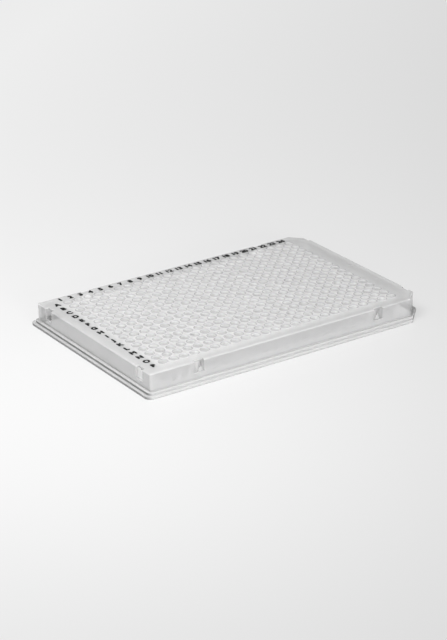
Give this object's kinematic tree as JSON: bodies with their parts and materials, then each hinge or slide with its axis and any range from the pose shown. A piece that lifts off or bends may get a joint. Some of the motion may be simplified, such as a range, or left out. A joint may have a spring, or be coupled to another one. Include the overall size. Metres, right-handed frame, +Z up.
{
  "type": "well plate",
  "caption": "Low rectangular laboratory plate with a grid of thin-walled conical wells, full skirt, stepped foot and two cut corners.",
  "frame": {"origin": "middle of the footprint, on the surface the plate stands on", "axes": "+X along the columns' numbers, from column 1 to the cut corners; +Y towards row A; +Z up, out of the wells"},
  "size_m": [0.1278, 0.0854, 0.0091],
  "materials": {
    "natural_polypropylene": "satin moulded, translucent",
    "pad_print_ink": "flat black ink"
  },
  "bodies": {
    "root": {"plate": "natural_polypropylene"}
  },
  "joints": []
}
